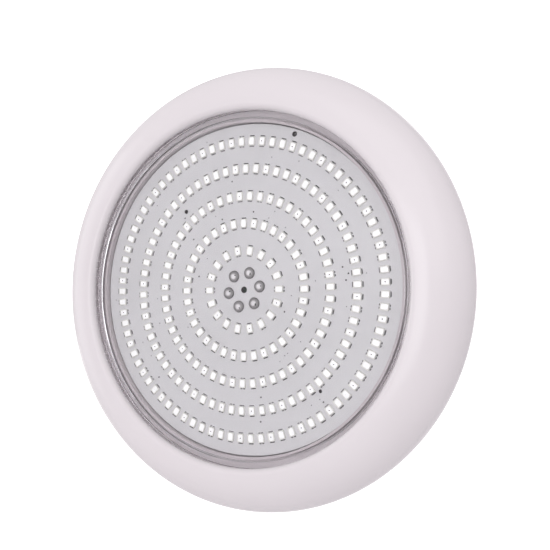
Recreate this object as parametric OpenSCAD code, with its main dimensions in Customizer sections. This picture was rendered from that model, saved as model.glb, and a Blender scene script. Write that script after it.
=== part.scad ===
// Surface-mounted underwater pool light: a flat round LED lamp on a twist-lock wall plate.
//
// Frame: the wall is the plane y = 0 and the light faces -Y, with +Z up and +X to the right.
// The origin is the centre of the wall plate's rear face, which rests on the wall.
// Each piece is drawn lying on the wall in a flat frame (x right, y up, z out of the wall),
// and facing_out() then turns it so that "out of the wall" becomes -Y.

/* [Overall] */
// Outside diameter of the bezel
bezel_d = 178; // [177.5:0.5:184]
// Distance from the wall to the front of the bezel
lamp_depth = 40; // [40:0.5:44]

/* [Bezel] */
// Radius of the bezel's rounded section
bezel_round = 17; // [16.8:0.1:17.2]
// Thickness of the bezel's skin
bezel_skin = 3; // [2.6:0.1:3.2]
// Diameter of the bezel's opening over the lens
opening_d = 139; // [138.6:0.1:139.4]

/* [Lens] */
// Diameter of the clear lens
lens_d = 140.4; // [140:0.1:140.6]
// Thickness of the lens disc
lens_t = 2.5; // [2:0.1:2.6]

/* [LED board] */
// Diameter of the LED board
board_d = 130.4; // [129.6:0.1:130.6]
// Thickness of the LED board
board_t = 1.6; // [1.2:0.1:1.7]
// Radius of the innermost ring of LEDs
first_ring_r = 15.5; // [15:0.1:16]
// Distance from one ring of LEDs to the next
ring_step = 10.75; // [10.6:0.05:10.8]
// LEDs in each ring, from the innermost out; every count is a multiple of three colours
ring_counts = [18, 36, 51, 66, 81];
// Angle of the first LED in each ring
ring_starts = [0, 0, 1, 1.6, 2];
// LED package: across the ring, along the ring, height
led_size = [3.5, 2.8, 0.7];

/* [Driver] */
// Diameter of the round driver board
driver_d = 96; // [94:1:98]
// Thickness of the driver board
driver_t = 1.6; // [1.2:0.1:1.6]

/* [Cable gland] */
// Diameter of the round cable that the gland grips
cable_d = 7; // [6:0.1:7.4]
// Width across the flats of the gland's hexagons
gland_af = 18; // [17:0.5:18]

/* [Wall plate] */
// Outside diameter of the wall plate
plate_d = 140; // [138:1:144]
// Thickness of the wall plate
plate_t = 3; // [2.5:0.1:3]
// Circle of the four wall screws
screw_circle_d = 120; // [118:0.5:122]
// Diameter of a wall screw hole
screw_hole_d = 5.2; // [4.5:0.1:5.5]
// Angle that each twist-lock hook covers
hook_angle = 32; // [30:1:34]

/* [Quality] */
// Facets of a full turn on the large rings
big_fn = 240; // [120:24:360]
// Facets of a full turn on small round parts
small_fn = 48; // [24:12:96]

/* [Hidden] */

run_gap = 0.05;      // running clearance of a pin or screw in its hole
free_gap = 0.3;      // gap between pieces that move past each other
cut = 1;             // how far a cutting shape runs past the face that it cuts

// Heights off the wall, from the front of the lamp backwards
bezel_under = lamp_depth - bezel_skin;
lens_front = bezel_under - free_gap;
lens_back = lens_front - lens_t;
board_front = lens_back - 2.7;
board_back = board_front - board_t;
pad_t = 0.5;
pad_back = board_back - pad_t;
spreader_t = 2;
spreader_back = pad_back - spreader_t;

// Heights off the wall, from the wall forwards
tab_back = plate_t + free_gap;
tab_t = 2.1;
hook_under = tab_back + tab_t + free_gap;
hook_t = 1.9;
housing_back = hook_under + hook_t + 0.9;
wall_t = 2.5;
floor_front = housing_back + wall_t;

// Housing
housing_r = 66;
housing_inner_r = 62.5;
board_pocket_r = 65.6;
collar_r = 66.6;
groove_r = lens_d / 2 + 0.4;
rim_r = 73;
rim_front = lens_front - free_gap;
collar_front = lens_back - 0.4;
groove_floor = lens_back - 4.4;
flange_r = 77.2;
flange_front = lens_back - 3.7;
flange_t = 3;
flange_back = flange_front - flange_t;
gasket_t = 0.8;

// Bezel
bezel_centre_r = bezel_d / 2 - bezel_round;
bezel_centre_h = lamp_depth - bezel_round;
lip_round = bezel_centre_r - opening_d / 2;
bezel_rear_r = flange_r + 0.7;
snap_pins = 4;
snap_pin_r = 1.5;
snap_circle_r = 74.9;
snap_pin_back = flange_back - 2;
pry_notch = [16, 4];

// Holes through the board, pad and spreader: radius of the hole, distance out, angle
fill_holes = [[1.3, 0, 0], [1.05, 63.3, 69.7], [0.85, 42, 129.7], [0.7, 50.7, -49.8]];
lead_count = 6;
lead_circle_r = 7;
lead_start = 10;
lead_core_r = 0.45;
lead_skin_r = 0.8;
solder_r = 2.35;
solder_h = 0.85;

// Gland: a recess in the housing's rear wall lets the gland end flush with the wall plate
well_r = 16;
well_back = housing_back + 6.5;
well_front = well_back + wall_t;
gland_hex_r = gland_af / 2 / cos(30);
gland_hex_t = 2.7;
gland_washer_t = 0.8;
gland_hex_back = well_back - gland_washer_t - gland_hex_t;
spigot_r = 6.6;
inner_spigot_r = 6.2;
seal_pocket_r = 5.2;
seal_l = 4.9;
nut_end_t = 1.3;
slip_ring_t = 0.8;
nut_l = 7.7;
nut_back = gland_hex_back - free_gap - nut_l;
slip_ring_back = nut_back + nut_end_t + run_gap;
seal_back = slip_ring_back + slip_ring_t + run_gap;
cable_way_r = cable_d / 2 + 0.7;
locknut_t = 2.8;
inner_spigot_l = wall_t + locknut_t + 0.5;

// Driver
driver_back = well_front + locknut_t + 1.2;
driver_front = driver_back + driver_t;
standoff_circle_r = 44;
standoff_r = 2.6;
standoff_count = 4;
screw_shank_r = 1.2;
screw_head_r = 2.6;
screw_head_h = 1.6;
screw_below = 6;            // how far a driver screw reaches into its standoff
coil_distance = 33;
coil_angles = [20, 52, 84];
coil_foot_t = 1.6;
coil_core_r = 2.4;
coil_height = 5;

// Screws that hold the heat spreader to bosses in the housing
spreader_screw_count = 6;
spreader_screw_circle_r = 57.5;
spreader_screw_start = 30;
boss_r = 3.4;
boss_screw_l = 9;
countersunk_r = 2.9;
slot_size = [3, 0.7, 2];    // one slot of a cross-slotted screw head
slot_depth = 0.9;

// Twist lock
lock_count = 4;
spigot_ring_in = 52;
spigot_ring_out = 55.5;
tab_r = 60.5;
hook_in = 56.2;
hook_wall_in = 61;
hook_out = 64;
tab_angle = hook_angle - 4;
stop_angle = 1.6;
plate_in_r = 42;

// Colours
white_abs = [0.92, 0.90, 0.91];
grey_abs = [0.80, 0.79, 0.80];
clear_pc = [0.9, 0.95, 1, 0.3];
rubber_black = [0.09, 0.09, 0.10];
silicone_grey = [0.62, 0.60, 0.61];
steel = [0.72, 0.72, 0.74];
alloy = [0.78, 0.79, 0.80];
board_white = [0.84, 0.84, 0.86];
board_green = [0.08, 0.35, 0.16];
chip_black = [0.07, 0.07, 0.08];
solder_grey = [0.55, 0.56, 0.57];
copper = [0.72, 0.40, 0.18];

// ---- Helpers -------------------------------------------------------------

// Turns the flat drawing frame so that "out of the wall" becomes -Y
module facing_out() {
    rotate([90, 0, 0]) children();
}

// Copies its children "count" times round the centre, a full turn in all
module around(count, start = 0) {
    for (i = [0 : count - 1])
        rotate(start + i * 360 / count) children();
}

// Plain disc between two heights
module disc(r, back, front, facets = big_fn) {
    translate([0, 0, back]) cylinder(r = r, h = front - back, $fn = facets);
}

// Flat-ended tube between two heights
module tube(r_out, r_in, back, front, facets = big_fn) {
    difference() {
        disc(r_out, back, front, facets);
        disc(r_in, back - cut, front + cut, facets);
    }
}

// Part of a tube that covers "angle" degrees, centred on the +X direction
module tube_arc(r_out, r_in, angle, back, front) {
    rotate([0, 0, -angle / 2]) translate([0, 0, back])
        rotate_extrude(angle = angle, $fn = big_fn)
            translate([r_in, 0]) square([r_out - r_in, front - back]);
}

// Hexagonal prism between two heights
module hexagon(r, back, front) {
    translate([0, 0, back]) cylinder(r = r, h = front - back, $fn = 6);
}

// Box centred on a point of the flat frame, from its back face forwards
module block(size, back) {
    translate([-size[0] / 2, -size[1] / 2, back]) cube(size);
}

// Countersunk cut or head whose wide end is at "front"
module countersink(r_wide, r_narrow, front) {
    translate([0, 0, front - (r_wide - r_narrow)])
        cylinder(r1 = r_narrow, r2 = r_wide, h = r_wide - r_narrow, $fn = small_fn);
}

// Cut for the cross slots of a screw head whose top is at "front"
module cross_slots(front) {
    for (turn = [0, 90])
        rotate(turn) block(slot_size, front - slot_depth);
}

// The small holes that run right through the stack under the lens
module fill_hole_cuts(back, front) {
    for (h = fill_holes)
        rotate(h[2]) translate([h[1], 0, 0]) disc(h[0], back - cut, front + cut, small_fn);
}

// ---- Wall plate ----------------------------------------------------------

// One hook: a block with an undercut that the lamp's tab turns into, closed by a stop at one end
module hook() {
    root = plate_t - 0.5;
    difference() {
        tube_arc(hook_out, hook_in, hook_angle, root, hook_under + hook_t);
        rotate(stop_angle)
            tube_arc(hook_wall_in, hook_in - cut, hook_angle, root - cut, hook_under);
    }
}

module wall_plate() {
    color(grey_abs) facing_out() {
        difference() {
            tube(plate_d / 2, plate_in_r, 0, plate_t);
            around(4, 45) translate([screw_circle_d / 2, 0, 0]) {
                disc(screw_hole_d / 2, -cut, plate_t + cut, small_fn);
                countersink(screw_hole_d / 2 + 1.8, screw_hole_d / 2, plate_t);
            }
        }
        around(lock_count) hook();
    }
}

// ---- Housing -------------------------------------------------------------

// Outline of the cup in radius and height, without its rear details
module housing_outline() {
    polygon([
        [0, housing_back], [housing_r, housing_back], [housing_r, flange_back - 4],
        [housing_r + 4, flange_back], [flange_r, flange_back], [flange_r, flange_front],
        [rim_r, flange_front], [rim_r, rim_front], [groove_r, rim_front],
        [groove_r, groove_floor], [collar_r, groove_floor], [collar_r, collar_front],
        [board_pocket_r, collar_front], [board_pocket_r, spreader_back],
        [housing_inner_r, spreader_back], [housing_inner_r, floor_front], [0, floor_front]
    ]);
}

module housing() {
    color(white_abs) facing_out() {
        difference() {
            union() {
                rotate_extrude($fn = big_fn) housing_outline();
                disc(well_r + wall_t, housing_back, well_front);
                tube(spigot_ring_out, spigot_ring_in, tab_back + 0.4, housing_back + 0.5);
                around(lock_count)
                    tube_arc(tab_r, spigot_ring_in + 1, tab_angle, tab_back, tab_back + tab_t);
                around(spreader_screw_count, spreader_screw_start)
                    translate([spreader_screw_circle_r, 0, 0])
                        disc(boss_r, floor_front - 0.5, spreader_back, small_fn);
                around(standoff_count, 45) translate([standoff_circle_r, 0, 0])
                    disc(standoff_r + 1.5, floor_front - 0.5, floor_front + 1, small_fn);
            }
            disc(well_r, housing_back - cut, well_back);
            disc(inner_spigot_r + run_gap, well_back - cut, well_front + cut, small_fn);
            around(spreader_screw_count, spreader_screw_start)
                translate([spreader_screw_circle_r, 0, 0])
                    disc(screw_shank_r + run_gap, spreader_back - boss_screw_l - 0.5,
                        spreader_back + cut, small_fn);
            around(snap_pins, 45) translate([snap_circle_r, 0, 0])
                disc(snap_pin_r + run_gap, flange_back - cut, flange_front + cut, small_fn);
        }
    }
}

// ---- Cable gland ---------------------------------------------------------

module gland_body() {
    color(rubber_black) facing_out()
        difference() {
            union() {
                hexagon(gland_hex_r, gland_hex_back, gland_hex_back + gland_hex_t);
                disc(spigot_r, seal_back + 0.4, gland_hex_back + 0.5, small_fn);
                disc(inner_spigot_r, gland_hex_back + 0.5, well_back + inner_spigot_l, small_fn);
            }
            disc(cable_way_r, 0, well_back + inner_spigot_l + cut, small_fn);
            disc(seal_pocket_r, 0, seal_back + seal_l, small_fn);
        }
}

module gland_washer() {
    color(silicone_grey) facing_out()
        tube(gland_af / 2, inner_spigot_r + run_gap, well_back - gland_washer_t, well_back,
            small_fn);
}

module gland_locknut() {
    color(rubber_black) facing_out()
        difference() {
            hexagon(gland_hex_r, well_front, well_front + locknut_t);
            disc(inner_spigot_r + run_gap, well_front - cut, well_front + locknut_t + cut, small_fn);
        }
}

module gland_seal() {
    color(silicone_grey) facing_out()
        tube(seal_pocket_r - run_gap, cable_d / 2, seal_back, seal_back + seal_l - run_gap,
            small_fn);
}

module gland_slip_ring() {
    color(steel) facing_out()
        tube(spigot_r - 0.3, cable_way_r - 0.2, slip_ring_back, slip_ring_back + slip_ring_t,
            small_fn);
}

module gland_nut() {
    color(rubber_black) facing_out()
        difference() {
            hexagon(gland_hex_r, nut_back, nut_back + nut_l);
            disc(cable_way_r, nut_back - cut, nut_back + nut_l + cut, small_fn);
            disc(spigot_r + run_gap, nut_back + nut_end_t, nut_back + nut_l + cut, small_fn);
        }
}

// ---- Driver --------------------------------------------------------------

module driver_standoffs() {
    color(steel) facing_out() around(standoff_count, 45)
        translate([standoff_circle_r, 0, 0])
            tube(standoff_r, screw_shank_r + run_gap, floor_front + 1, driver_back, small_fn);
}

module driver_board() {
    color(board_green) facing_out()
        difference() {
            disc(driver_d / 2, driver_back, driver_front);
            around(standoff_count, 45) translate([standoff_circle_r, 0, 0])
                disc(screw_shank_r + 0.2, driver_back - cut, driver_front + cut, small_fn);
            around(lead_count, lead_start) translate([lead_circle_r, 0, 0])
                disc(lead_core_r + run_gap, driver_back - cut, driver_front + cut, small_fn);
        }
}

module driver_screws() {
    color(steel) facing_out() around(standoff_count, 45)
        translate([standoff_circle_r, 0, 0]) {
            disc(screw_shank_r, driver_back - screw_below, driver_front, small_fn);
            difference() {
                disc(screw_head_r, driver_front, driver_front + screw_head_h, small_fn);
                cross_slots(driver_front + screw_head_h);
            }
        }
}

// Places driver parts on the rear of the driver board, hanging towards the wall
module on_driver(distance, angle) {
    rotate(angle) translate([distance, 0, driver_back]) mirror([0, 0, 1]) children();
}

module rectifiers() {
    size = [8, 12, 3.6];
    bevel = 1;
    color(chip_black) facing_out()
        for (angle = [200, 228])
            on_driver(33, angle) difference() {
                block(size, 0);
                translate([-size[0] / 2, -size[1] / 4, size[2]])
                    rotate([0, 45, 0]) cube([bevel, size[1] / 2, bevel], center = true);
            }
}

// Cans with a groove rolled round the foot and a scored top
module capacitors() {
    can_r = 5;
    can_l = 9;
    groove = 0.35;
    groove_back = 1.6;
    groove_front = 2.4;
    score = [7, 0.5, 1];
    color(steel) facing_out()
        for (angle = [120, 150, 178])
            on_driver(34, angle) difference() {
                disc(can_r, 0, can_l, small_fn);
                tube(can_r + cut, can_r - groove, groove_back, groove_front, small_fn);
                for (turn = [0, 60, 120])
                    rotate(turn) block(score, can_l - 0.3);
            }
}

module inductor_cores() {
    foot_w = 12;
    cap_r = 5.4;
    cap_t = 1.6;
    color(chip_black) facing_out()
        for (angle = coil_angles)
            on_driver(coil_distance, angle) {
                block([foot_w, foot_w, coil_foot_t], 0);
                disc(coil_core_r, coil_foot_t - 0.5, coil_height + 0.5, small_fn);
                disc(cap_r, coil_height, coil_height + cap_t, small_fn);
            }
}

module inductor_coils() {
    coil_r = 4.6;
    color(copper) facing_out()
        for (angle = coil_angles)
            on_driver(coil_distance, angle)
                tube(coil_r, coil_core_r, coil_foot_t, coil_height, small_fn);
}

module led_driver_chips() {
    size = [4, 5, 1.5];
    color(chip_black) facing_out()
        for (angle = coil_angles)
            on_driver(22.5, angle) block(size, 0);
}

module controller_chip() {
    size = [7, 7, 1.2];
    color(chip_black) facing_out() on_driver(33, 255) block(size, 0);
}

// A tube between two caps, each with a foot that stands on the board
module fuse() {
    length = 18;
    tube_r = 2.2;
    cap_r = 2.6;
    cap_l = 4;
    lift = 3.4;
    foot = [4, lift, 3];
    color(steel) facing_out() on_driver(30, 284) translate([0, 0, lift])
        rotate([90, 0, 0]) translate([0, 0, -length / 2]) {
            cylinder(r = tube_r, h = length, $fn = small_fn);
            for (end = [0, length - cap_l])
                translate([0, 0, end]) {
                    cylinder(r = cap_r, h = cap_l, $fn = small_fn);
                    translate([-foot[0] / 2, -foot[1], 0.5]) cube(foot);
                }
        }
}

// A screw well and a wire entry for each pole
module terminal_block() {
    pole = 5;
    poles = 3;
    size = [8, pole * poles, 9];
    well_depth = 2.5;
    screw_well_r = 1.6;
    entry = [size[0] / 2 + cut, 3, 3];
    color(board_green) facing_out() on_driver(32, 325)
        difference() {
            block(size, 0);
            for (i = [0 : poles - 1])
                translate([0, (i - (poles - 1) / 2) * pole, 0]) {
                    disc(screw_well_r, size[2] - well_depth, size[2] + cut, small_fn);
                    translate([-entry[0], -entry[1] / 2, 1.2]) cube(entry);
                }
        }
}

// ---- LED board and what carries it ---------------------------------------

// Straight leads from the driver board to the six solder joints at the centre
module lead_wires() {
    color(rubber_black) facing_out() around(lead_count, lead_start)
        translate([lead_circle_r, 0, 0]) {
            disc(lead_core_r, driver_back - 0.5, board_front + 0.2, small_fn);
            disc(lead_skin_r, driver_front, board_back, small_fn);
        }
}

module heat_spreader() {
    color(alloy) facing_out()
        difference() {
            disc(board_d / 2, spreader_back, pad_back);
            disc(10, spreader_back - cut, pad_back + cut, small_fn);
            fill_hole_cuts(spreader_back, pad_back);
            around(spreader_screw_count, spreader_screw_start)
                translate([spreader_screw_circle_r, 0, 0]) {
                    disc(screw_shank_r + 0.2, spreader_back - cut, pad_back + cut, small_fn);
                    countersink(countersunk_r + 0.1, screw_shank_r + 0.2, pad_back);
                }
        }
}

module spreader_screws() {
    color(steel) facing_out()
        around(spreader_screw_count, spreader_screw_start)
            translate([spreader_screw_circle_r, 0, 0])
                difference() {
                    union() {
                        disc(screw_shank_r, spreader_back - boss_screw_l, pad_back - 0.1, small_fn);
                        countersink(countersunk_r, screw_shank_r, pad_back - 0.1);
                    }
                    cross_slots(pad_back - 0.1);
                }
}

module thermal_pad() {
    color(silicone_grey) facing_out()
        difference() {
            disc(board_d / 2 - 0.4, pad_back, board_back);
            disc(10, pad_back - cut, board_back + cut, small_fn);
            fill_hole_cuts(pad_back, board_back);
        }
}

module led_board() {
    color(board_white) facing_out()
        difference() {
            disc(board_d / 2, board_back, board_front);
            fill_hole_cuts(board_back, board_front);
            around(lead_count, lead_start) translate([lead_circle_r, 0, 0])
                disc(lead_core_r + run_gap, board_back - cut, board_front + cut, small_fn);
        }
}

// One LED package: a white body with a shallow window over the chip
module led() {
    window = [2.7, 1.9, 0.3];
    difference() {
        block(led_size, board_front);
        block([window[0], window[1], window[2] + cut], board_front + led_size[2] - window[2]);
    }
}

// One ring of LEDs, counted from the innermost ring as 0
module led_ring(index) {
    color(white_abs) facing_out() around(ring_counts[index], ring_starts[index])
        translate([first_ring_r + index * ring_step, 0, 0]) led();
}

module leds_ring_1() { led_ring(0); }
module leds_ring_2() { led_ring(1); }
module leds_ring_3() { led_ring(2); }
module leds_ring_4() { led_ring(3); }
module leds_ring_5() { led_ring(4); }

// Domes of solder that close the six lead holes
module solder_joints() {
    dome_r = (solder_r * solder_r + solder_h * solder_h) / (2 * solder_h);
    color(solder_grey) facing_out() around(lead_count, lead_start)
        translate([lead_circle_r, 0, 0])
            difference() {
                intersection() {
                    translate([0, 0, board_front + solder_h - dome_r])
                        sphere(r = dome_r, $fn = small_fn);
                    disc(solder_r + cut, board_front, board_front + solder_h + cut, small_fn);
                }
                disc(lead_core_r + run_gap, board_front - cut, board_front + 0.25, small_fn);
            }
}

// ---- Lens ----------------------------------------------------------------

module lens_gasket() {
    color(silicone_grey) facing_out()
        tube(groove_r - 0.1, collar_r + 0.1, groove_floor, groove_floor + gasket_t);
}

// Clear disc with a skirt that stands on the gasket in the housing's groove
module lens() {
    color(clear_pc) facing_out()
        difference() {
            disc(lens_d / 2, groove_floor + gasket_t, lens_front);
            disc(collar_r + 0.8, groove_floor + gasket_t - cut, lens_back);
        }
}

module lens_seal_bead() {
    color(silicone_grey) facing_out()
        tube(groove_r, lens_d / 2, lens_back - 1.2, rim_front - 0.2);
}

// ---- Bezel ---------------------------------------------------------------

// Section of the bezel in radius and height: a rounded skin that rolls in to a lip at the front
module bezel_outline() {
    difference() {
        translate([bezel_centre_r, bezel_centre_h]) circle(r = bezel_round, $fn = big_fn);
        translate([bezel_centre_r, bezel_centre_h])
            circle(r = bezel_round - bezel_skin, $fn = big_fn);
        translate([0, -cut]) square([bezel_rear_r, bezel_centre_h + cut]);
        translate([0, -cut]) square([bezel_centre_r, lamp_depth + 2 * cut]);
    }
    intersection() {
        translate([bezel_centre_r, lamp_depth - lip_round]) circle(r = lip_round, $fn = big_fn);
        translate([bezel_centre_r - lip_round, bezel_under])
            square([lip_round + 0.5, bezel_skin + cut]);
    }
}

// Split pin moulded under the bezel, which grips its hole in the housing's flange
module snap_pin() {
    slot_w = 0.7;
    difference() {
        disc(snap_pin_r, snap_pin_back, bezel_under + 0.5, small_fn);
        block([slot_w, 4 * snap_pin_r, flange_t + 3], snap_pin_back - cut);
    }
}

module bezel_ring() {
    color(white_abs) facing_out()
        difference() {
            union() {
                rotate_extrude($fn = big_fn) bezel_outline();
                around(snap_pins, 45) translate([snap_circle_r, 0, 0]) snap_pin();
            }
            translate([-pry_notch[0] / 2, -bezel_d / 2, 0])
                cube([pry_notch[0], bezel_d / 2 - flange_r + cut, bezel_centre_h - bezel_round
                    + pry_notch[1]]);
        }
}

wall_plate();
housing();
gland_body();
gland_washer();
gland_locknut();
gland_seal();
gland_slip_ring();
gland_nut();
driver_standoffs();
driver_board();
driver_screws();
rectifiers();
capacitors();
inductor_cores();
inductor_coils();
led_driver_chips();
controller_chip();
fuse();
terminal_block();
lead_wires();
heat_spreader();
spreader_screws();
thermal_pad();
led_board();
leds_ring_1();
leds_ring_2();
leds_ring_3();
leds_ring_4();
leds_ring_5();
solder_joints();
lens_gasket();
lens();
lens_seal_bead();
bezel_ring();
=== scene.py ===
"""Looks of a surface-mounted underwater pool light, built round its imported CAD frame.

The lamp is drawn in a flat frame, as if it lay on a table with the wall below it: x is right,
y is up and h is the height off the wall, all in millimetres. at() turns that into the row frame,
where the wall is the plane y = 0 and the light faces -Y.
"""
import math
import random

import bmesh
import bpy
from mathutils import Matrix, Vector


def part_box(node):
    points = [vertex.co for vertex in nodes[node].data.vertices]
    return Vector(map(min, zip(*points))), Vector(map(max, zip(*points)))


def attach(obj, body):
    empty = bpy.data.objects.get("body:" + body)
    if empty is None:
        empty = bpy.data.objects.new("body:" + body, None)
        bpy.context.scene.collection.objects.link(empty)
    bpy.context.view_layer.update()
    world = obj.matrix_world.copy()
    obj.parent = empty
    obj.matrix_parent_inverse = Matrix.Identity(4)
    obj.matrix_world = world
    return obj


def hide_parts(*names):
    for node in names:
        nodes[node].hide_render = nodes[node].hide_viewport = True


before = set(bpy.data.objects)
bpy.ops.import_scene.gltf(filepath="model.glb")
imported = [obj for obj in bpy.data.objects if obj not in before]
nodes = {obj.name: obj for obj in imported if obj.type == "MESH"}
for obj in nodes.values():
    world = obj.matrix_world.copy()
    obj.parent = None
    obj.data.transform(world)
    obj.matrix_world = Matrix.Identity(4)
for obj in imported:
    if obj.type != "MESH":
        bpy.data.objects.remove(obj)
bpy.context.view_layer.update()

scene = bpy.context.scene

MM = 0.001
TURN = 2 * math.pi
BIG_STEPS = 288


# ---- Sizes, read from the frame --------------------------------------------------------------

def heights(node):
    """Lowest and highest distance of a node from the wall, in millimetres."""
    low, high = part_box(node)
    return -high[1] / MM, -low[1] / MM


def outer_radius(node):
    """Greatest distance of a round node from the lamp's axis, in millimetres."""
    low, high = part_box(node)
    return max(high[0], -low[0]) / MM


BEZEL_FRONT = heights("bezel_ring")[1]
BEZEL_R = 89.0
BEZEL_ROUND = 17.0
BEZEL_SKIN = 3.0
BEZEL_REAR_R = 77.9
LIP_ROUND = 2.5
SNAP_PIN_COUNT = 4
SNAP_PIN_START = 45.0
SNAP_PIN_R = 1.5
SNAP_CIRCLE_R = 74.9
SNAP_PIN_BACK = 25.5
PRY_NOTCH_W = 16.0
PRY_NOTCH_FRONT = 10.0

LENS_BACK, LENS_FRONT = heights("lens")
LENS_R = 70.2
LENS_T = 2.5
LENS_EDGE_ROUND = 0.35
LENS_RINGS = (60.0, 45.0, 30.0, 15.0, 0.01)
SKIRT_R = 67.4

BOARD_FRONT = heights("led_board")[1]
BOARD_R = outer_radius("led_board")

LED_ALONG = 3.5
LED_ACROSS = 2.8
LED_BACK, LED_FRONT = heights("leds_ring_1")
FIRST_RING_R = 15.5
RING_STEP = 10.75
RING_COUNTS = (18, 36, 51, 66, 81)
RING_STARTS = (0.0, 0.0, 1.0, 1.6, 2.0)
LED_COLOURS = 3
DARK_CHIP_TURN = (2, 2, 1, 2, 0)
SPLIT_LEAD_SHARE = 0.35

LEAD_COUNT = 6
LEAD_CIRCLE_R = 7.0
LEAD_START = 10.0
SOLDER_R = 2.35
FILL_HOLES = ((1.3, 0.0, 0.0), (1.05, 63.3, 69.7), (0.85, 42.0, 129.7), (0.7, 50.7, -49.8))
SOLDER_BACK, SOLDER_FRONT = heights("solder_joints")

VIA_COUNT = 40
VIA_WIDE = 0.36
VIA_NARROW = 0.2
VIA_GAPS = (0, 1, 1, 2, 2, 3, 3, 3, 4)


# ---- Mesh helpers ----------------------------------------------------------------------------

def at(x, y, h):
    """A point of the flat frame, in the row frame's metres."""
    return Vector((x, -h, y)) * MM


def arc(centre, radius, start, end, count):
    """Points of an arc in a section of radius and height, angles in degrees."""
    turns = [math.radians(start + (end - start) * i / count) for i in range(count + 1)]
    return [(centre[0] + radius * math.cos(t), centre[1] + radius * math.sin(t)) for t in turns]


def rounded(corners, radius, count=4):
    """A closed outline whose corners are rounded off, for the sections that are turned."""
    points = []
    for i, corner in enumerate(corners):
        here = Vector(corner)
        before = Vector(corners[i - 1]) - here
        after = Vector(corners[(i + 1) % len(corners)]) - here
        reach = min(radius, before.length * 0.45, after.length * 0.45)
        first = here + before.normalized() * reach
        last = here + after.normalized() * reach
        for k in range(count + 1):
            t = k / count
            point = first * (1 - t) ** 2 + here * (2 * t * (1 - t)) + last * t * t
            points.append((point.x, point.y))
    return points


def turned(outline, steps=BIG_STEPS, centre=(0.0, 0.0), shape=None):
    """Vertices and faces of a closed section turned about the lamp's axis, or about "centre".

    shape(angle, radius, height) may move a point of the section at that angle.
    """
    points = []
    for i in range(steps):
        angle = TURN * i / steps
        for r, h in outline:
            if shape:
                r, h = shape(angle, r, h)
            points.append(at(centre[0] + r * math.cos(angle), centre[1] + r * math.sin(angle), h))
    n = len(outline)
    faces = []
    for i in range(steps):
        j = (i + 1) % steps
        faces += [(i * n + k, i * n + (k + 1) % n, j * n + (k + 1) % n, j * n + k)
                  for k in range(n)]
    return points, faces


def piece(name, points, faces, body, materials, replaces=(), which=None, smooth=35.0):
    """Makes a visible piece, rides it on its body and hides the CAD nodes it stands for."""
    mesh = bpy.data.meshes.new(name)
    mesh.from_pydata(points, [], faces)
    for material in materials:
        mesh.materials.append(material)
    if which:
        mesh.polygons.foreach_set("material_index", which)
    work = bmesh.new()
    work.from_mesh(mesh)
    bmesh.ops.remove_doubles(work, verts=work.verts, dist=1e-7)
    bmesh.ops.recalc_face_normals(work, faces=work.faces)
    work.to_mesh(mesh)
    work.free()
    mesh.polygons.foreach_set("use_smooth", [True] * len(mesh.polygons))
    mesh.set_sharp_from_angle(angle=math.radians(smooth))
    made = bpy.data.objects.new(name, mesh)
    scene.collection.objects.link(made)
    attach(made, body)
    if replaces:
        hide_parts(*replaces)
    return made


# ---- Material helpers ------------------------------------------------------------------------

def linear(r, g, b):
    """A colour given as it looks on a screen, 0 to 255, in the linear values that shaders use."""
    parts = [c / 255 for c in (r, g, b)]
    return [c / 12.92 if c <= 0.04045 else ((c + 0.055) / 1.055) ** 2.4 for c in parts] + [1.0]


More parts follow.
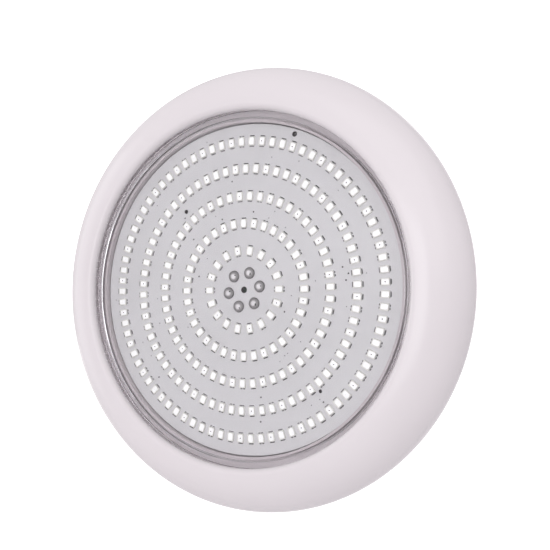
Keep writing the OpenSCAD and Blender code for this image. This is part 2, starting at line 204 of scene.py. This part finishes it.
class Look:
    """A material with one Principled shader, and short calls that add nodes to it."""

    def __init__(self, name, roughness, metallic=0.0):
        self.material = bpy.data.materials.new(name)
        self.material.use_nodes = True
        self.tree = self.material.node_tree
        self.shader = self.tree.nodes["Principled BSDF"]
        self.shader.inputs["Roughness"].default_value = roughness
        self.shader.inputs["Metallic"].default_value = metallic
        self.place = self.node("ShaderNodeTexCoord").outputs["Object"]
        self.bumps = None

    def node(self, kind, **values):
        """Adds a node and sets its properties."""
        made = self.tree.nodes.new(kind)
        for key, value in values.items():
            setattr(made, key, value)
        return made

    def link(self, output, target):
        self.tree.links.new(output, target)

    def noise(self, scale, detail=3.0, stretch=(1, 1, 1), roughness=0.5):
        """Noise whose scale is in features per metre, roughly."""
        mapping = self.node("ShaderNodeMapping")
        mapping.inputs["Scale"].default_value = stretch
        self.link(self.place, mapping.inputs["Vector"])
        made = self.node("ShaderNodeTexNoise")
        made.inputs["Scale"].default_value = scale
        made.inputs["Detail"].default_value = detail
        made.inputs["Roughness"].default_value = roughness
        self.link(mapping.outputs["Vector"], made.inputs["Vector"])
        return made.outputs["Fac"]

    def ramp(self, source, *stops):
        """Colour ramp: each stop is a position and a colour."""
        made = self.node("ShaderNodeValToRGB")
        elements = made.color_ramp.elements
        while len(elements) < len(stops):
            elements.new(0.5)
        for element, (position, colour) in zip(elements, stops):
            element.position = position
            element.color = colour
        self.link(source, made.inputs["Fac"])
        return made.outputs["Color"]

    def spread(self, source, low, high):
        """Maps a source that runs from 0 to 1 onto the range low to high."""
        made = self.node("ShaderNodeMapRange")
        made.inputs["To Min"].default_value = low
        made.inputs["To Max"].default_value = high
        self.link(source, made.inputs["Value"])
        return made.outputs["Result"]

    def fade(self, axis, start, end):
        """Falls from 1 to 0 as a coordinate of the object runs from start to end, in metres."""
        split = self.node("ShaderNodeSeparateXYZ")
        self.link(self.place, split.inputs["Vector"])
        made = self.node("ShaderNodeMapRange")
        made.inputs["From Min"].default_value = start
        made.inputs["From Max"].default_value = end
        made.inputs["To Min"].default_value = 1.0
        made.inputs["To Max"].default_value = 0.0
        self.link(split.outputs[axis], made.inputs["Value"])
        return made.outputs["Result"]

    def product(self, first, second):
        """Multiplies two values."""
        made = self.node("ShaderNodeMath", operation="MULTIPLY")
        self.link(first, made.inputs[0])
        self.link(second, made.inputs[1])
        return made.outputs["Value"]

    def blend(self, amount, first, second):
        """Mixes two colours: all of the first at 0, all of the second at 1."""
        made = self.node("ShaderNodeMix", data_type="RGBA")
        self.link(amount, made.inputs["Factor"])
        self.link(first, made.inputs["A"])
        self.link(second, made.inputs["B"])
        return made.outputs["Result"]

    def colour(self, output):
        self.link(output, self.shader.inputs["Base Color"])

    def rough(self, output):
        self.link(output, self.shader.inputs["Roughness"])

    def bump(self, source, distance, strength=1.0):
        """Adds a bump of about "distance" millimetres over any bumps before it."""
        made = self.node("ShaderNodeBump")
        made.inputs["Distance"].default_value = distance * MM
        made.inputs["Strength"].default_value = strength
        self.link(source, made.inputs["Height"])
        if self.bumps:
            self.link(self.bumps, made.inputs["Normal"])
        self.bumps = made.outputs["Normal"]
        self.link(self.bumps, self.shader.inputs["Normal"])


def moulded(name, low, high, roughness, grain=0.02, grain_scale=2500.0, glow=0.0):
    """Moulded plastic or rubber: slow colour drift, uneven gloss and a fine grain; glow adds a
    painted light of its own.
    """
    look = Look(name, roughness)
    look.shader.inputs["Emission Color"].default_value = (1.0, 1.0, 1.0, 1.0)
    look.shader.inputs["Emission Strength"].default_value = glow
    look.colour(look.ramp(look.noise(45.0, 2.0), (0.3, linear(*low)), (0.7, linear(*high))))
    look.rough(look.spread(look.noise(160.0, 4.0), roughness * 0.85, roughness * 1.15))
    look.bump(look.noise(grain_scale, 2.0), grain)
    return look.material


def metal(name, low, high, roughness, stretch=(1, 1, 1), grain=0.01):
    """Bare metal with fine scratches or a cast grain."""
    look = Look(name, roughness, metallic=1.0)
    look.colour(look.ramp(look.noise(300.0, 3.0, stretch), (0.3, linear(*low)), (0.7, linear(*high))))
    look.rough(look.spread(look.noise(700.0, 3.0, stretch), roughness * 0.7, roughness * 1.3))
    look.bump(look.noise(1500.0, 2.0, stretch), grain)
    return look.material


# ---- Materials -------------------------------------------------------------------------------

def make_bezel_gloss():
    """Glossy white ABS with the faintest pink, slightly uneven as mouldings are."""
    look = Look("bezel_gloss_abs", 0.22)
    look.colour(look.ramp(look.noise(18.0, 2.0), (0.3, linear(227, 222, 225)),
                          (0.7, linear(230, 225, 228))))
    look.rough(look.spread(look.noise(120.0, 5.0), 0.17, 0.27))
    look.bump(look.noise(60.0, 2.0), 0.03)
    look.bump(look.noise(1800.0, 2.0), 0.004)
    return look.material


def make_clear_lens():
    """Clear polycarbonate; rays from the lamps pass through, so what is behind stays lit."""
    look = Look("clear_polycarbonate", 0.02)
    look.shader.inputs["Transmission Weight"].default_value = 1.0
    look.shader.inputs["IOR"].default_value = 1.49
    look.shader.inputs["Base Color"].default_value = linear(252, 252, 253)
    look.rough(look.spread(look.noise(90.0, 3.0), 0.0, 0.02))
    look.bump(look.noise(35.0, 1.0), 0.01)
    clear = look.node("ShaderNodeBsdfTransparent")
    rays = look.node("ShaderNodeLightPath")
    mix = look.node("ShaderNodeMixShader")
    output = look.tree.nodes["Material Output"]
    look.link(rays.outputs["Is Shadow Ray"], mix.inputs["Fac"])
    look.link(look.shader.outputs["BSDF"], mix.inputs[1])
    look.link(clear.outputs["BSDF"], mix.inputs[2])
    look.link(mix.outputs["Shader"], output.inputs["Surface"])
    return look.material


def make_board_mask():
    """White solder mask, a little cloudy, with every face but the front painted near-black as the
    shade of the gap round the board.
    """
    look = Look("board_solder_mask", 0.38)
    mask = look.ramp(look.noise(28.0, 3.0), (0.3, linear(224, 223, 225)),
                     (0.7, linear(229, 228, 230)))
    # Painted shade: the board's edges stand in for the dark gap round it
    edge_painted_shade = look.ramp(look.noise(400.0, 2.0), (0.3, linear(44, 36, 40)),
                         (0.7, linear(58, 48, 52)))
    front = look.fade("Y", -BOARD_FRONT * MM, (0.1 - BOARD_FRONT) * MM)
    look.colour(look.blend(front, edge_painted_shade, mask))
    look.rough(look.spread(look.noise(220.0, 3.0), 0.32, 0.46))
    look.bump(look.noise(900.0, 3.0), 0.006)
    look.bump(look.noise(3500.0, 2.0), 0.003)
    return look.material


def make_solder():
    """Solder dome, painted darker at the foot as shade and painted bright on top as a highlight."""
    look = Look("solder", 0.42, metallic=0.5)
    height = look.fade("Y", -SOLDER_FRONT * MM, -SOLDER_BACK * MM)
    # Colour by height: painted shade at the foot rising to a painted highlight at the top stop
    look.colour(look.ramp(height, (0.0, linear(84, 81, 82)), (0.4, linear(118, 115, 116)),
                          (0.88, linear(150, 147, 148)), (0.99, linear(240, 238, 240))))
    look.rough(look.spread(look.noise(900.0, 3.0), 0.34, 0.5))
    look.bump(look.noise(900.0, 2.0), 0.03)
    return look.material


bezel_gloss = make_bezel_gloss()
clear_lens = make_clear_lens()
board_mask = make_board_mask()
# Housing ABS darkened and tinted mauve: painted shade of the white housing seen inside the lens rim
housing_abs_painted_shade = moulded("housing_abs_painted_shade", (206, 197, 201), (214, 205, 209), 0.45, 0.02)
plate_abs = moulded("grey_abs_satin", (188, 186, 188), (196, 194, 196), 0.5, 0.03)
black_nylon = moulded("black_nylon", (28, 28, 30), (36, 36, 38), 0.45, 0.03)
grey_silicone = moulded("grey_silicone", (72, 68, 70), (84, 80, 82), 0.6, 0.01)
pale_silicone = moulded("pale_silicone", (234, 226, 230), (242, 234, 238), 0.55, 0.01)
steel = metal("stainless_steel", (178, 178, 182), (196, 196, 199), 0.28, (1, 12, 1))
brass = metal("brass_posts", (196, 160, 92), (212, 178, 108), 0.3)
green_mask = moulded("green_solder_mask", (18, 84, 44), (26, 98, 52), 0.35, 0.01)
chip_epoxy = moulded("chip_epoxy", (26, 26, 28), (34, 34, 36), 0.6, 0.01)
can_alloy = metal("capacitor_can", (172, 174, 178), (190, 192, 195), 0.32, (1, 8, 1))
ferrite = moulded("ferrite", (44, 44, 46), (54, 54, 56), 0.7, 0.02)
copper = metal("enamelled_copper", (172, 88, 42), (196, 108, 58), 0.3, (1, 30, 1))
fuse_caps = metal("fuse_caps", (186, 186, 188), (204, 204, 206), 0.22)
terminal_green = moulded("terminal_green", (30, 116, 62), (40, 130, 72), 0.5, 0.02)
wire_skin = moulded("wire_skin", (30, 30, 32), (40, 40, 42), 0.5, 0.01)
spreader_alloy = metal("spreader_alloy", (182, 184, 187), (198, 200, 202), 0.38, (1, 1, 14))
led_body = moulded("led_body", (240, 239, 235), (245, 244, 240), 0.45, 0.004, 6000.0)
# The gel windows glow faintly: painted light, since the LEDs are not lit
led_window_painted_glow = moulded("led_window_painted_glow", (251, 251, 252), (254, 254, 254), 0.2, 0.003, 3000.0, 0.32)
pale_chip = moulded("pale_chip", (214, 212, 216), (226, 224, 228), 0.3, 0.002, 6000.0)
dark_chip = moulded("dark_chip", (104, 98, 102), (124, 118, 122), 0.3, 0.002, 6000.0)
solder_painted_sheen = make_solder()
# Tinned solder painted dark as a painted reflection; the outer fillets darker still as painted shade,
# the inner ones lighter
outer_lead_painted_shade = metal("tinned_lead_outer_painted_shade", (16, 14, 16), (34, 30, 34), 0.4, grain=0.01)
inner_lead_painted_shade = metal("tinned_lead_inner_painted_shade", (104, 100, 104), (146, 142, 146), 0.4, grain=0.01)
# Dark discs painted as the shade inside holes and pits
hole_painted_shade = moulded("hole_painted_shade", (16, 13, 16), (24, 20, 24), 0.7, 0.002, 6000.0)
via_ring = moulded("via_ring", (222, 220, 223), (230, 228, 231), 0.35, 0.004)

CAD_LOOKS = {
    "wall_plate": plate_abs,
    "housing": housing_abs_painted_shade,
    "gland_body": black_nylon,
    "gland_washer": grey_silicone,
    "gland_locknut": black_nylon,
    "gland_seal": grey_silicone,
    "gland_slip_ring": steel,
    "gland_nut": black_nylon,
    "driver_standoffs": brass,
    "driver_board": green_mask,
    "driver_screws": steel,
    "rectifiers": chip_epoxy,
    "capacitors": can_alloy,
    "inductor_cores": ferrite,
    "inductor_coils": copper,
    "led_driver_chips": chip_epoxy,
    "controller_chip": chip_epoxy,
    "fuse": fuse_caps,
    "terminal_block": terminal_green,
    "lead_wires": wire_skin,
    "heat_spreader": spreader_alloy,
    "spreader_screws": steel,
    "thermal_pad": grey_silicone,
    "led_board": board_mask,
    "lens_gasket": pale_silicone,
    "lens_seal_bead": pale_silicone,
}


def dress_cad_nodes():
    """Gives every CAD node that stays visible its material."""
    for name, material in CAD_LOOKS.items():
        slots = nodes[name].material_slots
        for slot in slots:
            slot.material = material
        if not slots:
            nodes[name].data.materials.append(material)


# ---- Bezel -----------------------------------------------------------------------------------

def bezel_section():
    """Rounded skin of the bezel, rolled in to a lip at the front and cut square at the rear."""
    centre = (BEZEL_R - BEZEL_ROUND, BEZEL_FRONT - BEZEL_ROUND)
    lip_centre = (centre[0], BEZEL_FRONT - LIP_ROUND)
    reach = BEZEL_REAR_R - centre[0]
    outer_end = -math.degrees(math.acos(reach / BEZEL_ROUND))
    inner_r = BEZEL_ROUND - BEZEL_SKIN
    inner_end = -math.degrees(math.acos(reach / inner_r))
    lip_end = 180 + math.degrees(math.asin((BEZEL_SKIN - LIP_ROUND) / LIP_ROUND))
    outer = arc(centre, BEZEL_ROUND, outer_end, 90, 72)
    lip = arc(lip_centre, LIP_ROUND, 90, lip_end, 20)
    inner = arc(centre, inner_r, 90, inner_end, 40)
    return outer + lip[1:] + inner


def make_bezel():
    """The bezel's skin with its pry notch at the bottom, and the split pins that hold it."""
    half_notch = PRY_NOTCH_W / 2

    def notch(angle, r, h):
        beside = abs(r * math.cos(angle)) > half_notch
        if beside or math.sin(angle) > 0:
            return r, h
        return r, max(h, PRY_NOTCH_FRONT)

    points, faces = turned(bezel_section(), 2 * BIG_STEPS, shape=notch)
    for k in range(SNAP_PIN_COUNT):
        add_snap_pin(points, faces, SNAP_PIN_START + 360 * k / SNAP_PIN_COUNT)
    piece("bezel", points, faces, "bezel", [bezel_gloss], ["bezel_ring"])


def add_snap_pin(points, faces, degrees):
    """Split pin under the bezel, as two half rounds beside a slot."""
    half_slot = 0.35
    root = BEZEL_FRONT - BEZEL_SKIN + 0.4
    angle = math.radians(degrees)
    centre = (SNAP_CIRCLE_R * math.cos(angle), SNAP_CIRCLE_R * math.sin(angle))
    steps = 14
    for side in (1, -1):
        edge = math.asin(half_slot / SNAP_PIN_R)
        outline = []
        for i in range(steps + 1):
            t = edge + (math.pi - 2 * edge) * i / steps
            across = SNAP_PIN_R * math.cos(t)
            along = side * SNAP_PIN_R * math.sin(t)
            outline.append((across, along))
        first = len(points)
        for shrink, h in ((0.75, SNAP_PIN_BACK), (1.0, SNAP_PIN_BACK + 0.6), (1.0, root)):
            for across, along in outline:
                x = across * shrink
                y = side * half_slot + (along - side * half_slot) * shrink
                points.append(at(centre[0] + x, centre[1] + y, h))
        n = len(outline)
        for row in range(2):
            base = first + row * n
            faces += [(base + k, base + (k + 1) % n, base + n + (k + 1) % n, base + n + k)
                      for k in range(n)]
        faces.append(tuple(range(first, first + n)))
        faces.append(tuple(range(first + 2 * n, first + 3 * n)))


# ---- Lens ------------------------------------------------------------------------------------

def make_lens():
    """Clear disc with a skirt, as one closed skin with softened edges."""
    inside = LENS_FRONT - LENS_T
    corners = [(LENS_R, LENS_FRONT), (LENS_R, LENS_BACK), (SKIRT_R, LENS_BACK), (SKIRT_R, inside)]
    outline = rounded(corners, LENS_EDGE_ROUND, 5)
    outline += [(r, inside) for r in LENS_RINGS]
    outline += [(r, LENS_FRONT) for r in reversed(LENS_RINGS)]
    points, faces = turned(outline)
    piece("clear_lens", points, faces, "lamp", [clear_lens], ["lens"])


# ---- LEDs ------------------------------------------------------------------------------------

def rounded_box(along, across, radius, h, steps=3):
    """Corner points of a rectangle with rounded corners, at one height, in order."""
    points = []
    for cx, cy, start in ((1, 1, 0), (-1, 1, 90), (-1, -1, 180), (1, -1, 270)):
        for i in range(steps + 1):
            t = math.radians(start + 90 * i / steps)
            x = cx * (along / 2 - radius) + radius * math.cos(t)
            y = cy * (across / 2 - radius) + radius * math.sin(t)
            points.append((x, y, h))
    return points


class Template:
    """A small mesh in its own frame, which is copied many times into one piece."""

    def __init__(self):
        self.points = []
        self.faces = []
        self.which = []

    def skin(self, loops, slot, close_first=False, close_last=False):
        """Joins a row of loops that all have the same number of points."""
        n = len(loops[0])
        first = len(self.points)
        for loop in loops:
            self.points += loop
        for row in range(len(loops) - 1):
            base = first + row * n
            self.faces += [(base + k, base + (k + 1) % n, base + n + (k + 1) % n, base + n + k)
                           for k in range(n)]
            self.which += [slot] * n
        if close_first:
            self.faces.append(tuple(reversed(range(first, first + n))))
            self.which.append(slot)
        if close_last:
            last = first + (len(loops) - 1) * n
            self.faces.append(tuple(range(last, last + n)))
            self.which.append(slot)

    def copy_to(self, target, radius, degrees):
        """Adds a copy at a distance and angle, its x axis pointing away from the lamp's axis."""
        angle = math.radians(degrees)
        c, s = math.cos(angle), math.sin(angle)
        first = len(target.points)
        target.points += [at((radius + x) * c - y * s, (radius + x) * s + y * c, h)
                          for x, y, h in self.points]
        target.faces += [tuple(first + k for k in face) for face in self.faces]
        target.which += self.which


BODY, WINDOW, OUTER_LEAD, INNER_LEAD, CHIP, DARK_CHIP = range(6)


def led_template(dark, split):
    """One LED package: soft-edged body, sunk window with a gel fill, solder at both ends."""
    made = Template()
    base, top = LED_BACK, LED_FRONT
    window_l, window_w, sink = 2.7, 1.9, 0.12
    made.skin([
        rounded_box(LED_ALONG, LED_ACROSS, 0.12, base),
        rounded_box(LED_ALONG, LED_ACROSS, 0.12, base + 0.3),
        rounded_box(LED_ALONG - 0.1, LED_ACROSS - 0.1, 0.12, top - 0.08),
        rounded_box(LED_ALONG - 0.24, LED_ACROSS - 0.24, 0.1, top),
        rounded_box(window_l, window_w, 0.55, top),
        rounded_box(window_l - 0.1, window_w - 0.1, 0.5, top - sink),
    ], BODY, close_first=True)
    made.skin([
        rounded_box(window_l - 0.1, window_w - 0.1, 0.5, top - sink),
        rounded_box(window_l - 0.9, window_w - 0.7, 0.3, top - sink + 0.05),
        rounded_box(window_l - 1.9, window_w - 1.5, 0.1, top - sink + 0.07),
    ], WINDOW, close_last=True)
    chip = 0.5 if dark else 0.34
    slot = DARK_CHIP if dark else CHIP
    made.skin([
        rounded_box(chip, chip, 0.06, top - sink + 0.06),
        rounded_box(chip * 0.9, chip * 0.9, 0.06, top - sink + 0.11),
    ], slot, close_last=True)
    for side, slot in ((1, OUTER_LEAD), (-1, INNER_LEAD)):
        if split:
            solder_fillet(made, side, slot, -0.6, 0.8)
            solder_fillet(made, side, slot, 0.6, 0.8)
        else:
            solder_fillet(made, side, slot, 0.0, 2.0)
    return made


def solder_fillet(made, side, slot, middle, width):
    """Low ridge of solder along one end of a package."""
    length, height, out = 0.32, 0.3, LED_ALONG / 2 + 0.32
    loops = []
    for shrink, rise in ((1.0, 0.0), (0.96, 0.4), (0.7, 0.85), (0.2, 1.0)):
        loop = rounded_box(length * shrink, width - length * (1 - shrink), 0.15 * shrink,
                           LED_BACK + 0.01 + height * rise)
        loops.append([(x + side * out, y + middle, h) for x, y, h in loop])
    made.skin(loops, slot, close_first=True, close_last=True)


def make_leds():
    """Five rings of packages: every third has a darker chip, and some have split leads."""
    draw = random.Random(3)
    kinds = {(dark, split): led_template(dark, split)
             for dark in (False, True) for split in (False, True)}
    for ring, (count, start, turn) in enumerate(zip(RING_COUNTS, RING_STARTS, DARK_CHIP_TURN)):
        whole = Template()
        for i in range(count):
            source = kinds[i % LED_COLOURS == turn, draw.random() < SPLIT_LEAD_SHARE]
            source.copy_to(whole, FIRST_RING_R + ring * RING_STEP, start + 360 * i / count)
        name = f"leds_ring_{ring + 1}"
        piece(f"led_packages_{ring + 1}", whole.points, whole.faces, "lamp",
              [led_body, led_window_painted_glow, outer_lead_painted_shade, inner_lead_painted_shade, pale_chip, dark_chip], [name],
              whole.which, smooth=30.0)


# ---- Solder joints and vias ------------------------------------------------------------------

SOLDER, PIT, RING = range(3)


def circle(x, y, radius, h, count=20):
    """Points of a level circle."""
    return [(x + radius * math.cos(TURN * k / count), y + radius * math.sin(TURN * k / count), h)
            for k in range(count)]


def add_disc(made, x, y, radius, h, slot):
    """Thin button that stands a little proud of what it lies on."""
    made.skin([circle(x, y, radius, h - 0.05), circle(x, y, radius * 0.8, h)], slot,
              close_last=True)


def add_ring(made, inside, outside, slot):
    """Low ring on the board round the axis of a template."""
    floor, top = BOARD_FRONT + 0.005, BOARD_FRONT + 0.03
    made.skin([circle(0, 0, outside, floor, 40), circle(0, 0, outside - 0.04, top, 40),
               circle(0, 0, inside + 0.04, top, 40), circle(0, 0, inside, floor, 40)], slot)


def dome_height(share):
    """Height of a solder dome at a share of its radius, from 0 on its axis to 1 at its foot."""
    turn = math.acos(share ** (4 / 3))
    return SOLDER_BACK + (SOLDER_FRONT - SOLDER_BACK) * math.sin(turn)


def make_solder_joints():
    """Six domes of solder, each a little different, with dark discs painted as the shade of pits, on
    pale rings of bare mask.
    """
    draw = random.Random(7)
    whole = Template()
    shares = (1.0, 0.97, 0.92, 0.84, 0.74, 0.62, 0.48, 0.32, 0.16, 0.02)
    for i in range(LEAD_COUNT):
        lean = draw.uniform(-0.12, 0.12)
        one = Template()
        loops = []
        for share in shares:
            loop = []
            for a in range(28):
                angle = TURN * a / 28
                wave = 1 + 0.012 * math.sin(3 * angle + 5 * lean) + 0.01 * math.sin(5 * angle)
                r = SOLDER_R * share * wave
                loop.append((r * math.cos(angle) + lean * (1 - share), r * math.sin(angle),
                             dome_height(share)))
            loops.append(loop)
        one.skin(loops, SOLDER, close_first=True, close_last=True)
        around = LEAD_START + 360 * i / LEAD_COUNT
        for pit in range(1 + i % 2):
            share = draw.uniform(0.32, 0.5)
            out = SOLDER_R * share
            turn = math.radians(draw.uniform(-50, 40) - around)
            add_disc(one, out * math.cos(turn), out * math.sin(turn), draw.uniform(0.26, 0.36),
                     dome_height(share) + 0.03, PIT)
        add_ring(one, SOLDER_R + 0.06, SOLDER_R + 0.34, RING)
        one.copy_to(whole, LEAD_CIRCLE_R, around)
    piece("solder_domes", whole.points, whole.faces, "lamp",
          [solder_painted_sheen, hole_painted_shade, via_ring], ["solder_joints"], whole.which, smooth=60.0)


def via_template(radius):
    """Plated hole through the board: a dark disc, painted shade of the hole, inside a low pale ring.
    """
    made = Template()
    add_ring(made, radius, radius + 0.22, 0)
    add_disc(made, 0, 0, radius, BOARD_FRONT + 0.02, 1)
    return made


def make_vias():
    """Vias scattered in the gaps between the rings of LEDs and outside the last ring."""
    draw = random.Random(11)
    whole = Template()
    wide, narrow = via_template(VIA_WIDE), via_template(VIA_NARROW)
    for i in range(VIA_COUNT):
        gap = draw.choice(VIA_GAPS)
        radius = FIRST_RING_R + RING_STEP * (gap + 0.5) + draw.uniform(-2.0, 2.0)
        kind = narrow if i % 3 else wide
        kind.copy_to(whole, min(radius, BOARD_R - 3.0), draw.uniform(0, 360))
    for radius, distance, angle in FILL_HOLES:
        rim = Template()
        add_ring(rim, radius + 0.02, radius + 0.3, 0)
        rim.copy_to(whole, distance, angle)
    piece("board_vias", whole.points, whole.faces, "lamp", [via_ring, hole_painted_shade],
          which=whole.which)


dress_cad_nodes()
make_bezel()
make_lens()
make_leds()
make_solder_joints()
make_vias()


# ---- Floor, light and camera -----------------------------------------------------------------

# How strongly the floor glows near the lamp, and where it rises into what the camera sees behind
FLOOR_GLOW = 0.05
BACKDROP_GLOW = 0.75


def make_floor():
    """Pale floor that sweeps up into a lit backdrop, so that no horizon shows."""
    look = Look("studio_white", 0.9)
    look.colour(look.ramp(look.noise(3.0, 2.0), (0.3, linear(222, 221, 222)),
                          (0.7, linear(225, 224, 225))))
    level, far, bend, half = -0.35, 2.4, 0.9, 3.0
    lit = look.product(look.fade("Y", 0.65, 0.25), look.fade("X", -0.15, 0.4))
    lit = look.product(lit, look.fade("Z", 1.3, 1.7))
    glow = look.spread(lit, FLOOR_GLOW, BACKDROP_GLOW)
    look.link(glow, look.shader.inputs["Emission Strength"])
    look.shader.inputs["Emission Color"].default_value = (1.0, 1.0, 1.0, 1.0)
    rows = [(-2.0, level)]
    rows += [(far - bend + bend * math.sin(t), level + bend - bend * math.cos(t))
             for t in (math.pi / 2 * k / 24 for k in range(25))]
    rows.append((far, 3.0))
    points = [(x, y, z) for y, z in rows for x in (-half, half)]
    faces = [(2 * k, 2 * k + 1, 2 * k + 3, 2 * k + 2) for k in range(len(rows) - 1)]
    mesh = bpy.data.meshes.new("studio_floor")
    mesh.from_pydata(points, [], faces)
    mesh.materials.append(look.material)
    mesh.polygons.foreach_set("use_smooth", [True] * len(mesh.polygons))
    floor = bpy.data.objects.new("studio_floor", mesh)
    scene.collection.objects.link(floor)


def soft_box(name, place, target, width, height, power):
    """Area light that faces its target."""
    data = bpy.data.lights.new(name, "AREA")
    data.shape = "RECTANGLE"
    data.size, data.size_y = width, height
    data.energy = power
    lamp = bpy.data.objects.new(name, data)
    lamp.location = place
    lamp.rotation_euler = (Vector(target) - Vector(place)).to_track_quat("-Z", "Y").to_euler()
    scene.collection.objects.link(lamp)


def make_lights():
    world = bpy.data.worlds.new("studio")
    world.use_nodes = True
    background = world.node_tree.nodes["Background"]
    background.inputs["Color"].default_value = (1.0, 0.965, 0.985, 1.0)
    background.inputs["Strength"].default_value = 0.78
    scene.world = world
    middle = (0.0, -0.02, 0.0)
    soft_box("key_light", (0.23, -0.34, 0.27), middle, 0.5, 0.5, 0.4)
    soft_box("fill_light", (-0.95, -0.27, 0.12), middle, 0.6, 0.9, 1.2)
    soft_box("front_light", (0.05, -1.0, 0.0), middle, 0.5, 0.5, 1.5)


def make_camera():
    """Camera at the photograph's angle: to the right of the lamp's axis, level, and close."""
    data = bpy.data.cameras.new("camera")
    data.lens = 54.0
    data.sensor_width = 36.0
    data.shift_y = 0.07
    data.clip_start = 0.01
    camera = bpy.data.objects.new("camera", data)
    camera.location = at(155.7, -11.1, 318.7)
    ahead = Vector((-0.4445, 0.8957, 0.0054))
    camera.rotation_euler = ahead.to_track_quat("-Z", "Y").to_euler()
    scene.collection.objects.link(camera)
    scene.camera = camera


make_floor()
make_lights()
make_camera()
scene.view_settings.view_transform = "Standard"
